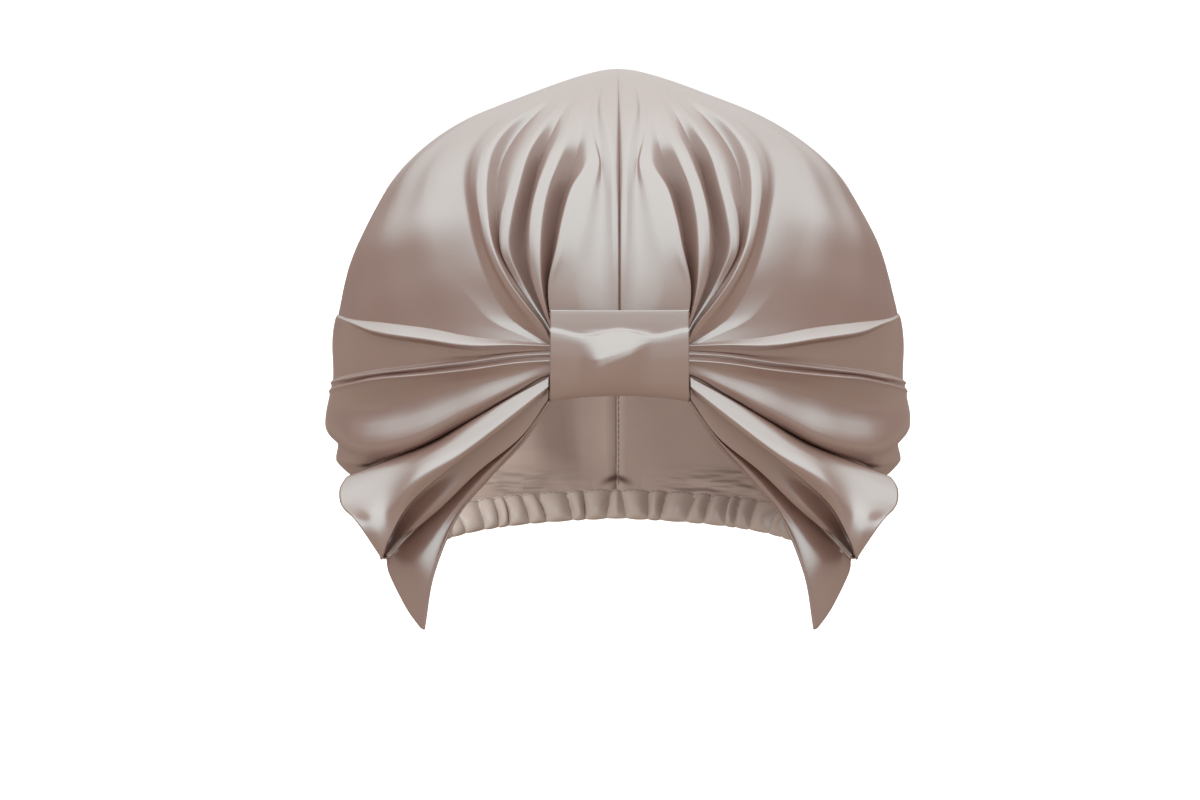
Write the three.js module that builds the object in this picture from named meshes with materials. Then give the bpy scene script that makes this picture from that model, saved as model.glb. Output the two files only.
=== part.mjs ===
// Pre-tied satin hair wrap: two body panels sewn at a centre seam, a folded knot band at the
// forehead, two pleated flaps that leave the knot and hang at the temples, and a gathered nape hem.
// Millimetres, +Z up, the forehead faces -Y. The origin is the centre of the head opening, level
// with the nape hem.
import * as THREE from 'three';
import { mergeVertices } from 'three/addons/utils/BufferGeometryUtils.js';

// ---- driving dimensions ----
const TOP = 213; // height of the apex above the nape hem
const WALL = 1.5; // cloth wall
const GAP = 0.3; // clearance between neighbouring pieces
const KNOT_HALF = 28.5; // half width of the knot band
const KNOT_TOP = 112;
const KNOT_BOTTOM = 74;
const KNOT_CREASE = 102.5; // height of the crease across the knot band
const HEM_HEIGHT = 10; // height of the nape casing
const HEM_THICKNESS = 3.4;
const HEM_DROP = 0.8; // from the panel's lower edge down to the top of the casing
const HEM_START = 66; // azimuth where the casing begins, hidden behind the flap
const PUCKER = 11; // length of one gather along the casing
const PUCKER_DEPTH = 0.7;

const SATIN = { color: '#a89a92', roughness: 0.38, metalness: 0 };
const SATIN_BACK = { color: '#948379', roughness: 0.6, metalness: 0 };

const radians = THREE.MathUtils.degToRad;

// ---- the head form: level sections, each half an ellipse in front and half an ellipse behind ----
const SECTIONS = [
  { height: 213, side: 0, front: 0, back: 0 },
  { height: 211, side: 13, front: 14, back: 15 },
  { height: 207, side: 26, front: 28, back: 29 },
  { height: 201, side: 42, front: 44, back: 47 },
  { height: 190, side: 68, front: 66, back: 72 },
  { height: 174, side: 91, front: 86, back: 92 },
  { height: 151, side: 108, front: 101, back: 108 },
  { height: 133, side: 117, front: 107, back: 114 },
  { height: 103, side: 125, front: 110, back: 118 },
  { height: 80, side: 126, front: 110, back: 117 },
  { height: 55, side: 125, front: 105, back: 112 },
  { height: 30, side: 114, front: 96, back: 103 },
  { height: 0, side: 92, front: 82, back: 88 },
  { height: -45, side: 74, front: 66, back: 70 },
];

// ---- crown folds: azimuth and lift of each crest or valley at six heights, in degrees and mm ----
const FOLD_HEIGHTS = [97, 112, 130, 158, 180, 196];
const CROWN_FOLDS = [
  { name: 'seam', azimuth: [0, 0, 0, 0, 0, 0], lift: [0, -0.6, -1, -1.2, -0.6, 0] },
  { name: 'front_band', azimuth: [6, 7, 7, 6, 4, 5], lift: [1, 1.4, 1.6, 1.4, 0.9, 0.3] },
  { name: 'fourth_crest', azimuth: [10.6, 13.6, 13.8, 12, 7.5, 8.5], lift: [1, 1.8, 2.6, 2, 1, 0.2] },
  { name: 'fourth_valley', azimuth: [11, 15, 15.4, 14.7, 12, 12.5], lift: [-0.5, -2, -3, -2.6, -1.2, 0] },
  { name: 'third_crest', azimuth: [11.4, 16.2, 17.5, 18.3, 16, 17], lift: [1, 2.2, 3, 2.8, 1.6, 0.3] },
  { name: 'third_valley', azimuth: [11.7, 16.8, 20.6, 21.5, 20.5, 20.5], lift: [-0.5, -1, -2.4, -2.2, -1.4, 0] },
  { name: 'second_crest', azimuth: [12, 17.3, 23, 24.8, 28, 24], lift: [0.6, 1, 1.4, 2.4, 1.8, 0.3] },
  { name: 'second_valley', azimuth: [12.3, 17.8, 24, 29, 34, 31], lift: [-0.3, 0, -0.5, -1.8, -1.4, 0] },
  { name: 'first_crest', azimuth: [12.8, 18.8, 25.8, 34.4, 42, 41], lift: [1.2, 3.6, 4.6, 4.6, 3, 0.8] },
  { name: 'first_valley', azimuth: [13.4, 21.2, 29.8, 39.8, 48, 48], lift: [-0.8, -2.6, -2.6, -2, -1.4, 0] },
];
const PLAIN_AZIMUTHS = [17, 22, 28, 35, 42, 50, 58, 66, 76, 90, 105, 120, 135, 150, 165, 180];
const CROWN_LEVELS = [104, 112, 121, 130, 144, 158, 170, 180, 189, 196, 202, 207, 211, TOP];

// ---- side pleats: height and lift of each line at seven azimuths, from the seam to the nape ----
const PLEAT_AZIMUTHS = [0, 13, 29, 54, 90, 135, 180];
const PLEATS = [
  { name: 'first_crest', height: [97, 97, 96.5, 99, 103.5, 103, 102], lift: [0, 1.6, 4, 4.2, 2, 0.4, 0] },
  { name: 'first_under', height: [96, 96, 93, 94, 99, 99, 99], lift: [0, 0.4, 0, 0.4, 0.8, 0.2, 0] },
  { name: 'upper_hollow', height: [95, 95, 91.5, 88, 88, 89, 90], lift: [0, 0.6, 0, 0.8, 2.4, 0.6, 0] },
  { name: 'second_crest', height: [93, 93.4, 89.4, 82, 72.5, 76, 80], lift: [0, 1.4, 2.6, 2.6, 2.4, 0.8, 0] },
  { name: 'groove', height: [92, 92.2, 87.8, 80.8, 70.5, 73, 77], lift: [0, 0.2, 0.8, 1, 1.6, 0.4, 0] },
  { name: 'third_crest', height: [91, 91, 86.4, 79.4, 68.5, 71, 74], lift: [0, 1.6, 3, 3, 4.2, 0.9, 0] },
  { name: 'bulge', height: [88, 88, 79, 67, 60, 61, 62], lift: [0, 1.2, 1.6, 2.6, 6, 1.2, 0] },
  { name: 'waist', height: [85, 85, 70, 55, 47, 48, 50], lift: [0, 0.6, 0.4, 1, 3.6, 0.6, 0] },
  { name: 'lower_bulge', height: [83, 83, 63, 45, 36, 38, 40], lift: [0, 0, -0.6, 0.4, 9.2, 1, 0] },
  { name: 'tuck', height: [81, 81, 58, 35, 29, 30, 31], lift: [0, 0, -0.6, -0.6, 5, 0.4, 0] },
  { name: 'skirt', height: [79.5, 79.5, 50, 22, 18, 20, 20], lift: [0, 0, -0.6, -0.6, -0.5, 0, 0] },
  { name: 'edge', height: [78, 78, 42, 9, 4.6, 8, 10.2], lift: [0, 0, -0.6, -0.6, 0, 0, 0] },
];

// ---- flap pleats: each line runs from the knot to the free edge; azimuth, height and lift at
// six stations along it ----
const FLAP_LINES = [
  {
    name: 'upper_edge',
    azimuth: [12.9, 20.2, 28.4, 37.2, 49.6, 75],
    height: [84.6, 75, 65.3, 55.5, 46.8, 34.5],
    lift: [3.4, 3.2, 3.2, 3.8, 4.2, 8.4],
  },
  {
    name: 'fan_crest',
    azimuth: [12.9, 20, 29, 38.2, 52, 77],
    height: [83.2, 72.5, 61.4, 51.2, 42, 32.6],
    lift: [4.4, 4.6, 4.8, 5.8, 7, 12],
  },
  {
    name: 'fan_shoulder',
    azimuth: [12.9, 20, 29.6, 40.4, 55, 77],
    height: [82.6, 71, 58.4, 47, 36.4, 27.6],
    lift: [4.4, 4.5, 4.9, 6.2, 7.8, 14.5],
  },
  {
    name: 'fan_middle',
    azimuth: [12.9, 20, 30.4, 43, 58, 74],
    height: [82, 69.2, 54.6, 41.8, 29.6, 22.6],
    lift: [4.4, 4.4, 5, 6.6, 8.4, 14],
  },
  {
    name: 'fan_edge',
    azimuth: [12.9, 20, 31.4, 44, 58, 75],
    height: [81, 65.6, 48.8, 35.2, 22.2, 4.6],
    lift: [4.2, 4.4, 5.4, 7, 8, 17],
  },
  {
    name: 'upper_tuck',
    azimuth: [12.9, 20.3, 33, 45, 57, 70],
    height: [80.2, 64.4, 47.8, 33, 21.4, 7.4],
    lift: [2.6, 2.4, 3, 4, 6.4, 15],
  },
  {
    name: 'middle_pleat',
    azimuth: [12.9, 20.2, 32, 44.4, 57, 69],
    height: [79.2, 60.6, 43.6, 29.2, 17.2, 7.4],
    lift: [3.6, 3.4, 3.8, 5, 7.8, 14.6],
  },
  {
    name: 'lower_tuck',
    azimuth: [12.9, 20.3, 32.2, 43.6, 55.6, 68],
    height: [78.2, 56, 39.6, 26.8, 15.8, 7.6],
    lift: [2.6, 2.4, 2.8, 4.6, 7.8, 15],
  },
  {
    name: 'tip_crest',
    azimuth: [12.9, 20.2, 31, 43, 56, 66],
    height: [77.4, 55.2, 38.4, 25.2, 12.8, -4],
    lift: [3.8, 3.2, 3.6, 5.6, 9.4, 20],
  },
  {
    name: 'tip_middle',
    azimuth: [12.9, 20, 30.6, 41.6, 54, 64],
    height: [76.8, 54.2, 35.8, 20.9, 5.6, -16],
    lift: [3.6, 3.2, 3, 6, 11, 19.6],
  },
  {
    name: 'inner_edge',
    azimuth: [12.9, 20.4, 30, 42, 52, 62],
    height: [76.6, 53.2, 34, 17, -1.8, -26],
    lift: [3, 2.6, 2.4, 6.4, 13, 18],
  },
];
const FLAP_STEPS = 14;

// smooth reading of a table: value at x between the knots xs, with slopes taken from the neighbours
function readTable(xs, ys, x) {
  const last = xs.length - 1;
  const rising = xs[last] > xs[0];
  let k = 0;
  while (k < last - 1 && (rising ? x > xs[k + 1] : x < xs[k + 1])) k += 1;
  const slope = (i) => {
    const a = Math.max(i - 1, 0);
    const b = Math.min(i + 1, last);
    return (ys[b] - ys[a]) / (xs[b] - xs[a]);
  };
  const span = xs[k + 1] - xs[k];
  const s = THREE.MathUtils.clamp((x - xs[k]) / span, 0, 1);
  const h = s * s * (3 - 2 * s);
  return ys[k] * (1 - h) + ys[k + 1] * h + span * s * (1 - s) * (slope(k) * (1 - s) - slope(k + 1) * s);
}

// the root of the depth below the apex grows evenly round the crown, so sections read well by it
const depthRoot = (height) => Math.sqrt(Math.max(TOP - height, 0) / TOP);
const SECTION_ROOTS = SECTIONS.map((row) => depthRoot(row.height));

function headSection(height) {
  const root = depthRoot(height);
  const read = (column) => readTable(SECTION_ROOTS, SECTIONS.map((row) => row[column]), root);
  return { side: read('side'), front: read('front'), back: read('back') };
}

// point of the head form at an azimuth (0 forehead, 90 right temple, 180 nape) and a height
function headPoint(azimuth, height) {
  const { side, front, back } = headSection(height);
  const turn = radians(azimuth);
  const reach = azimuth < 90 ? front : back;
  return new THREE.Vector3(side * Math.sin(turn), -reach * Math.cos(turn), height);
}

// outward normal of the head form
function headNormal(azimuth, height) {
  if (height > TOP - 0.5) return new THREE.Vector3(0, 0, 1);
  const step = Math.min(1, (TOP - height) / 2);
  const level = headPoint(azimuth + 1, height).sub(headPoint(Math.abs(azimuth - 1), height));
  if (azimuth < 1 || azimuth > 179) level.set(azimuth < 1 ? 1 : -1, 0, 0);
  const rise = headPoint(azimuth, height + step).sub(headPoint(azimuth, height - step));
  return level.cross(rise).normalize();
}

// point lifted off the head form; the seam edges stay half a gap clear of the centre plane
function liftedPoint({ azimuth, height, lift }) {
  const point = headPoint(azimuth, height).addScaledVector(headNormal(azimuth, height), lift);
  point.x = Math.max(point.x, GAP / 2);
  return point;
}

// ---- body panel ----
function crownLine(fold, height) {
  const level = Math.min(height, FOLD_HEIGHTS.at(-1));
  const fade = THREE.MathUtils.clamp((TOP - height) / (TOP - FOLD_HEIGHTS.at(-1)), 0, 1);
  return {
    azimuth: readTable(FOLD_HEIGHTS, fold.azimuth, level),
    lift: readTable(FOLD_HEIGHTS, fold.lift, level) * fade,
  };
}

// a plain column keeps its share of the way from the outermost fold to the nape seam
function plainColumn(foot, height) {
  const edge = CROWN_FOLDS.at(-1);
  const line = crownLine(edge, height);
  const share = (foot - edge.azimuth[0]) / (180 - edge.azimuth[0]);
  const azimuth = line.azimuth + (180 - line.azimuth) * share;
  return { azimuth, lift: 0 };
}

function panelColumns(height) {
  const folds = CROWN_FOLDS.map((fold) => crownLine(fold, height));
  return [...folds, ...PLAIN_AZIMUTHS.map((foot) => plainColumn(foot, height))];
}

// the first pleat's crest bounds the crown; its lift fades out within a short way above it
function crestFade(height, azimuth) {
  const crest = readTable(PLEAT_AZIMUTHS, PLEATS[0].height, azimuth);
  const near = THREE.MathUtils.clamp(1 - (height - crest) / 14, 0, 1);
  return readTable(PLEAT_AZIMUTHS, PLEATS[0].lift, azimuth) * near * near;
}

function crownRow(level) {
  const footLevel = FOLD_HEIGHTS[0];
  return panelColumns(level).map(({ azimuth, lift }) => {
    const crest = readTable(PLEAT_AZIMUTHS, PLEATS[0].height, azimuth);
    const share = (level - footLevel) / (TOP - footLevel);
    const height = crest + (TOP - crest) * share;
    return { azimuth, height, lift: lift + crestFade(height, azimuth) };
  });
}

function pleatRow(pleat) {
  return panelColumns(FOLD_HEIGHTS[0]).map(({ azimuth }) => ({
    azimuth,
    height: readTable(PLEAT_AZIMUTHS, pleat.height, azimuth),
    lift: readTable(PLEAT_AZIMUTHS, pleat.lift, azimuth),
  }));
}

function panelRows() {
  return [...PLEATS.map(pleatRow).reverse(), ...CROWN_LEVELS.map(crownRow)];
}

// ---- a sheet of cloth as a closed solid: outer grid, inner grid and the edges between them ----
function sheetSolid(outer, inner) {
  const rows = outer.length;
  const columns = outer[0].length;
  const points = [...outer.flat(), ...inner.flat()];
  const at = (side, row, column) => side * rows * columns + row * columns + column;
  const faces = [];
  const quad = (a, b, c, d) => faces.push([a, b, c], [a, c, d]);
  for (let row = 0; row + 1 < rows; row += 1) {
    for (let column = 0; column + 1 < columns; column += 1) {
      quad(at(0, row, column), at(0, row, column + 1), at(0, row + 1, column + 1), at(0, row + 1, column));
      quad(at(1, row, column), at(1, row + 1, column), at(1, row + 1, column + 1), at(1, row, column + 1));
    }
    const end = columns - 1;
    quad(at(0, row, 0), at(0, row + 1, 0), at(1, row + 1, 0), at(1, row, 0));
    quad(at(0, row, end), at(1, row, end), at(1, row + 1, end), at(0, row + 1, end));
  }
  for (let column = 0; column + 1 < columns; column += 1) {
    const top = rows - 1;
    quad(at(0, 0, column), at(1, 0, column), at(1, 0, column + 1), at(0, 0, column + 1));
    quad(at(0, top, column), at(0, top, column + 1), at(1, top, column + 1), at(1, top, column));
  }
  return closedGeometry(points, faces);
}

// merges points that coincide, such as a pole, and drops the faces that this collapses
function closedGeometry(points, faces) {
  const raw = new THREE.BufferGeometry();
  raw.setAttribute('position', new THREE.Float32BufferAttribute(points.flatMap((p) => p.toArray()), 3));
  raw.setIndex(faces.flat());
  const geometry = mergeVertices(raw, 1e-4);
  const index = Array.from(geometry.index.array);
  const kept = [];
  for (let k = 0; k < index.length; k += 3) {
    const [a, b, c] = index.slice(k, k + 3);
    if (a !== b && b !== c && c !== a) kept.push(a, b, c);
  }
  geometry.setIndex(kept);
  geometry.computeVertexNormals();
  return geometry;
}

// the same geometry on the other side of the centre plane
function mirrored(geometry) {
  const copy = geometry.clone();
  copy.scale(-1, 1, 1);
  const index = copy.index.array;
  for (let k = 0; k < index.length; k += 3) [index[k], index[k + 1]] = [index[k + 1], index[k]];
  copy.computeVertexNormals();
  return copy;
}

function panelGeometry() {
  const rows = panelRows();
  const outer = rows.map((row) => row.map(liftedPoint));
  const inner = rows.map((row) => row.map((spot) => liftedPoint({ ...spot, lift: spot.lift - WALL })));
  return sheetSolid(outer, inner);
}

// ---- flap ----
function flapLine(line) {
  const stations = line.azimuth.map((azimuth, k) => ({ azimuth, height: line.height[k], lift: line.lift[k] }));
  const curve = new THREE.CatmullRomCurve3(stations.map(liftedPoint), false, 'centripetal');
  return curve.getPoints(FLAP_STEPS);
}

function flapGeometry() {
  const outer = FLAP_LINES.map(flapLine).reverse();
  const inner = outer.map((line) => line.map((point) => {
    const inward = new THREE.Vector3(point.x, point.y * 1.3, 0).normalize();
    return point.clone().addScaledVector(inward, -WALL);
  }));
  return sheetSolid(outer, inner);
}

// ---- knot band: a strip folded under the lower edge of the gathered cloth ----
const BAND_PATH = [
  { height: KNOT_TOP - 2, lift: 3.4 },
  { height: KNOT_TOP, lift: 5 },
  { height: KNOT_CREASE + 2, lift: 6.6 },
  { height: KNOT_CREASE, lift: 6.2 },
  { height: KNOT_CREASE - 3, lift: 7.4 },
  { height: 88, lift: 7.6 },
  { height: KNOT_BOTTOM + 3, lift: 6.4 },
  { height: KNOT_BOTTOM, lift: 3.4 },
  { height: KNOT_BOTTOM, lift: -2 },
  { height: KNOT_BOTTOM + 4, lift: -4.4 },
  { height: 90, lift: -4.6 },
  { height: 101, lift: -4.6 },
];
const BAND_COLUMNS = 12;

function bandPoint(across, { height, lift }) {
  const x = across * KNOT_HALF;
  const { side, front } = headSection(height);
  const depth = front * Math.sqrt(1 - (x / side) ** 2);
  return new THREE.Vector3(x, -depth - lift, height);
}

function knotBandGeometry() {
  const outer = [];
  const inner = [];
  BAND_PATH.forEach((spot, k) => {
    const before = BAND_PATH[Math.max(k - 1, 0)];
    const after = BAND_PATH[Math.min(k + 1, BAND_PATH.length - 1)];
    const along = new THREE.Vector2(after.lift - before.lift, after.height - before.height).normalize();
    const innerSpot = { height: spot.height - along.x * WALL, lift: spot.lift + along.y * WALL };
    const row = Array.from({ length: BAND_COLUMNS + 1 }, (_, c) => (2 * c) / BAND_COLUMNS - 1);
    outer.push(row.map((across) => bandPoint(across, spot)));
    inner.push(row.map((across) => bandPoint(across, innerSpot)));
  });
  return sheetSolid(outer.reverse(), inner.reverse());
}

// ---- nape casing: a puckered tube that follows the hem ----
const CASING_PROFILE = [
  { out: 0.15, up: 1 },
  { out: 0.5, up: 0.8 },
  { out: 0.55, up: 0.35 },
  { out: 0.5, up: 0.05 },
  { out: 0, up: -0.02 },
  { out: -0.5, up: 0.05 },
  { out: -0.55, up: 0.35 },
  { out: -0.5, up: 0.8 },
  { out: -0.15, up: 1 },
];

// height of the panel's lower edge, straight between its columns as the panel itself is
function panelEdgeHeight(azimuth) {
  const next = PLAIN_AZIMUTHS.findIndex((column) => column >= azimuth);
  const [from, to] = [PLAIN_AZIMUTHS[next - 1], PLAIN_AZIMUTHS[next]];
  const edge = (column) => readTable(PLEAT_AZIMUTHS, PLEATS.at(-1).height, column);
  return THREE.MathUtils.lerp(edge(from), edge(to), (azimuth - from) / (to - from));
}

function napeCasingGeometry() {
  const { side } = headSection(0);
  const sweep = 360 - 2 * HEM_START;
  const count = 2 * Math.round((radians(sweep) * side) / PUCKER);
  const rings = [];
  for (let k = 0; k <= count; k += 1) {
    const turn = HEM_START + (sweep * k) / count;
    const azimuth = turn <= 180 ? turn : 360 - turn;
    const edge = panelEdgeHeight(azimuth);
    const pucker = k % 2 ? -PUCKER_DEPTH : PUCKER_DEPTH;
    rings.push(CASING_PROFILE.map(({ out, up }) => {
      const lift = out * (HEM_THICKNESS + pucker) - WALL / 2;
      const height = edge - HEM_DROP - (1 - up) * HEM_HEIGHT;
      const point = headPoint(azimuth, height).addScaledVector(headNormal(azimuth, height), lift);
      if (turn > 180) point.x = -point.x;
      return point;
    }));
  }
  return tubeSolid(rings);
}

// closes a run of equal rings into a solid with flat ends
function tubeSolid(rings) {
  const size = rings[0].length;
  const points = rings.flat();
  const faces = [];
  for (let ring = 0; ring + 1 < rings.length; ring += 1) {
    for (let k = 0; k < size; k += 1) {
      const a = ring * size + k;
      const b = ring * size + ((k + 1) % size);
      faces.push([a, b, b + size], [a, b + size, a + size]);
    }
  }
  const last = (rings.length - 1) * size;
  for (let k = 1; k + 1 < size; k += 1) {
    faces.push([0, k + 1, k], [last, last + k, last + k + 1]);
  }
  return closedGeometry(points, faces);
}

function addPiece(name, geometry, finish) {
  const piece = new THREE.Mesh(geometry, new THREE.MeshStandardMaterial(finish));
  piece.name = name;
  hairWrap.add(piece);
}

const hairWrap = new THREE.Group();
const panel = panelGeometry();
const flap = flapGeometry();
addPiece('panel_right', panel, SATIN);
addPiece('panel_left', mirrored(panel), SATIN);
addPiece('flap_right', flap, SATIN);
addPiece('flap_left', mirrored(flap), SATIN);
addPiece('knot_band', knotBandGeometry(), SATIN);
addPiece('nape_casing', napeCasingGeometry(), SATIN_BACK);

export default hairWrap;
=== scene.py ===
# %% [markdown]
# # A pre-tied satin hair wrap
# The wrap is two mirrored halves of champagne satin, joined by a seam that runs from the
# forehead over the crown to the nape. A plain strip gathers them at the forehead, two pleated
# ends hang beside the face, and a casing with elastic inside gathers the nape.
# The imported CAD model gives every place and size. This notebook adds the cloth: its folds,
# its seams and its shine. Lengths in the tables are millimetres; the scene is in metres.

import math

import bmesh
import bpy
import numpy as np
from mathutils import Matrix, Vector


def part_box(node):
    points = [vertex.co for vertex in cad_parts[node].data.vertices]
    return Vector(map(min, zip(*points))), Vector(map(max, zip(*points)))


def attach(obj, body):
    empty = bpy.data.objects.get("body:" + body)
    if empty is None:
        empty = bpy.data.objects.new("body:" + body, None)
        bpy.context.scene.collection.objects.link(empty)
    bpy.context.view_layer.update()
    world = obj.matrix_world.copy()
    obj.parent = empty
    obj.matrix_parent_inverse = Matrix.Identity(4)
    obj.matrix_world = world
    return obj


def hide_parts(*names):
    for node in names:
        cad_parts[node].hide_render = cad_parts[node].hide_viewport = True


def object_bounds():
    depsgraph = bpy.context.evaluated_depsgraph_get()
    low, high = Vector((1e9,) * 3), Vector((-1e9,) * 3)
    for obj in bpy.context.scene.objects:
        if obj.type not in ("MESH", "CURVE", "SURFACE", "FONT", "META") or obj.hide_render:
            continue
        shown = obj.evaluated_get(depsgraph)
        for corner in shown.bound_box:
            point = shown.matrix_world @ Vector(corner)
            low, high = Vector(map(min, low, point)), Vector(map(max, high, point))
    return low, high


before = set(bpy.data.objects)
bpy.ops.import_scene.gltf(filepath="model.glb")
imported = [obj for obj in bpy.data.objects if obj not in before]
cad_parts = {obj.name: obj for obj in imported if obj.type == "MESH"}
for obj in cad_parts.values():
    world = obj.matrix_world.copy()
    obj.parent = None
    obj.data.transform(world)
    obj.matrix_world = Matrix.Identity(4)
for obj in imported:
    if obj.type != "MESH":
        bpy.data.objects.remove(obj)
cad_low, cad_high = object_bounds()
MM = 0.001
print("CAD box", [round(v, 3) for v in cad_low], [round(v, 3) for v in cad_high])

# %% [markdown]
# ## The camera
# A short telephoto lens stands in front, a little above the knot, and looks five degrees down, so
# the lining and the far side of the hem show under the strip. A wide lens close by would swell
# the knot. The camera is made first, because every later step is judged in it.

# %% Place the camera
LENS_MM = 85
DISTANCE = 1.275
ELEVATION = math.radians(5)
LOOK_LEFT = 0.008
LOOK_BELOW_CENTRE = 0.0255

box_centre = (cad_low + cad_high) / 2
target = Vector((box_centre.x - LOOK_LEFT, 0, box_centre.z - LOOK_BELOW_CENTRE))
away = Vector((0, -math.cos(ELEVATION), math.sin(ELEVATION)))

camera_data = bpy.data.cameras.new("camera")
camera_data.lens = LENS_MM
camera = bpy.data.objects.new("camera", camera_data)
bpy.context.collection.objects.link(camera)
camera.location = target + away * DISTANCE
camera.rotation_euler = (-away).to_track_quat("-Z", "Y").to_euler()
bpy.context.scene.camera = camera
print("camera at", [round(v, 3) for v in camera.location])

# %% [markdown]
# ## Light and floor
# Satin shows its folds by mirroring what stands round it, so the surround does more than any lamp.
# Soft boxes would do, but their edges show in the cloth. A white tent painted on the world fades
# out smoothly: bright in front and above, shaded at the sides, near the ground and a little
# behind. Cloth that faces up turns pale, and cloth that faces aside or down stays dark.
# The floor is plain and lies well below the ends. Its taupe is what the undersides mirror, but to
# the lens alone it glows white. One small lamp inside the wrap stands for the daylight that
# comes through the cloth to the lining.

# %% Helpers for objects, nodes and colours
def link_object(name, data):
    """A new object in the scene that carries the data."""
    made = bpy.data.objects.new(name, data)
    bpy.context.collection.objects.link(made)
    return made


def add_node(tree, kind, settings=None, inputs=None):
    """One node with its settings; inputs are values, or sockets to link from."""
    node = tree.nodes.new(kind)
    for key, value in (settings or {}).items():
        setattr(node, key, value)
    for key, value in (inputs or {}).items():
        if isinstance(value, bpy.types.NodeSocket):
            tree.links.new(value, node.inputs[key])
        else:
            node.inputs[key].default_value = value
    return node


def linear(hex_colour):
    """An sRGB hex colour as the linear values that a shader works in."""
    parts = [int(hex_colour[k : k + 2], 16) / 255 for k in (1, 3, 5)]
    return [c / 12.92 if c <= 0.04045 else ((c + 0.055) / 1.055) ** 2.4 for c in parts] + [1]


print("mid grey #808080 is", [round(v, 3) for v in linear("#808080")])

# %% Hang the small lamp inside the wrap
DAYLIGHT = (0.885, 1, 1.03)
LAMP_PLACE = (-0.085, -0.025, 0.06)
LAMP_SIZE = 0.05
LAMP_POWER = 0.2
LAMP_TURN = math.radians(-31)

lamp_data = bpy.data.lights.new("lining_light", "AREA")
lamp_data.shape = "RECTANGLE"
lamp_data.size = LAMP_SIZE
lamp_data.size_y = LAMP_SIZE
lamp_data.energy = LAMP_POWER
lamp_data.color = DAYLIGHT
lining_light = link_object("lining_light", lamp_data)
lining_light.location = LAMP_PLACE
lining_light.rotation_euler = (math.pi / 2, 0, LAMP_TURN)
lining_light.visible_camera = False
lining_light.visible_glossy = False
print("lamp at", LAMP_PLACE)

# %% Lay the floor
FLOOR_DROP = 0.35
FLOOR_REACH = 40
FLOOR_COLOUR = "#9c8478"
FLOOR_ROUGHNESS = 0.9

floor_mesh = bpy.data.meshes.new("floor")
floor_bm = bmesh.new()
bmesh.ops.create_grid(floor_bm, x_segments=1, y_segments=1, size=FLOOR_REACH)
floor_bm.to_mesh(floor_mesh)
floor_bm.free()
floor = link_object("floor", floor_mesh)
floor.location.z = cad_low.z - FLOOR_DROP
floor_finish = bpy.data.materials.new("matt_paper_floor")
floor_finish.use_nodes = True
floor_tree = floor_finish.node_tree
floor_shader = floor_tree.nodes["Principled BSDF"]
floor_shader.inputs["Base Color"].default_value = linear(FLOOR_COLOUR)
floor_shader.inputs["Roughness"].default_value = FLOOR_ROUGHNESS
floor_shader.inputs["Emission Color"].default_value = (1, 1, 1, 1)
to_lens = add_node(floor_tree, "ShaderNodeLightPath").outputs["Is Camera Ray"]
floor_tree.links.new(to_lens, floor_shader.inputs["Emission Strength"])
floor_mesh.materials.append(floor_finish)
print("floor at", round(floor.location.z, 3))

# %% Pitch the tent of light
# A direction is in the light while |x| + TENT_LEAN z, and more towards the back, is small. Each
# pair below gives where a share starts and where it is full.
TENT_SIDES = (0.7, 0.33)
TENT_LEAN = -0.8
TENT_CLOSING = 0.9
TENT_FOOT = (0.0, 0.35)
TENT_BACK = (0.1, 0.9)
BACK_SHARE = 0.62
TENT_SHADE = (0.31, 0.25, 0.232, 1)
TENT_LIGHT = (1.55, 1.78, 1.8, 1)
BACKDROP_WHITE = 1.05
world = bpy.data.worlds.new("studio")
bpy.context.scene.world = world
world.use_nodes = True
sky = world.node_tree
sky.nodes.clear()
facing = add_node(sky, "ShaderNodeTexCoord").outputs["Generated"]
along = add_node(sky, "ShaderNodeSeparateXYZ", inputs={0: facing})
sideways = add_node(sky, "ShaderNodeMath", {"operation": "ABSOLUTE"}, {0: along.outputs["X"]})
leaning = add_node(
    sky,
    "ShaderNodeMath",
    {"operation": "MULTIPLY_ADD"},
    {0: along.outputs["Z"], 1: TENT_LEAN, 2: sideways.outputs[0]},
)
receding = add_node(
    sky,
    "ShaderNodeMath",
    {"operation": "MULTIPLY_ADD"},
    {0: along.outputs["Y"], 1: TENT_CLOSING, 2: -TENT_CLOSING / 2},
)
closing = add_node(sky, "ShaderNodeMath", {"operation": "MAXIMUM"}, {0: receding.outputs[0], 1: 0})
outward = add_node(
    sky, "ShaderNodeMath", {"operation": "ADD"}, {0: leaning.outputs[0], 1: closing.outputs[0]}
)
arch = add_node(
    sky,
    "ShaderNodeMapRange",
    {"interpolation_type": "SMOOTHSTEP"},
    {"Value": outward.outputs[0], "From Min": TENT_SIDES[0], "From Max": TENT_SIDES[1]},
)
rise = add_node(
    sky,
    "ShaderNodeMapRange",
    {"interpolation_type": "SMOOTHSTEP"},
    {"Value": along.outputs["Z"], "From Min": TENT_FOOT[0], "From Max": TENT_FOOT[1]},
)
behind = add_node(
    sky,
    "ShaderNodeMapRange",
    {"interpolation_type": "SMOOTHSTEP"},
    {
        "Value": along.outputs["Y"],
        "From Min": TENT_BACK[0],
        "From Max": TENT_BACK[1],
        "To Min": 1,
        "To Max": BACK_SHARE,
    },
)
front = add_node(
    sky, "ShaderNodeMath", {"operation": "MULTIPLY"}, {0: arch.outputs[0], 1: rise.outputs[0]}
)
tent = add_node(
    sky, "ShaderNodeMath", {"operation": "MULTIPLY"}, {0: front.outputs[0], 1: behind.outputs[0]}
)
tint = add_node(
    sky,
    "ShaderNodeMix",
    {"data_type": "RGBA"},
    {"Factor": tent.outputs[0], 6: TENT_SHADE, 7: TENT_LIGHT},
)
room = add_node(sky, "ShaderNodeBackground", inputs={"Color": tint.outputs[2]})
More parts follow.
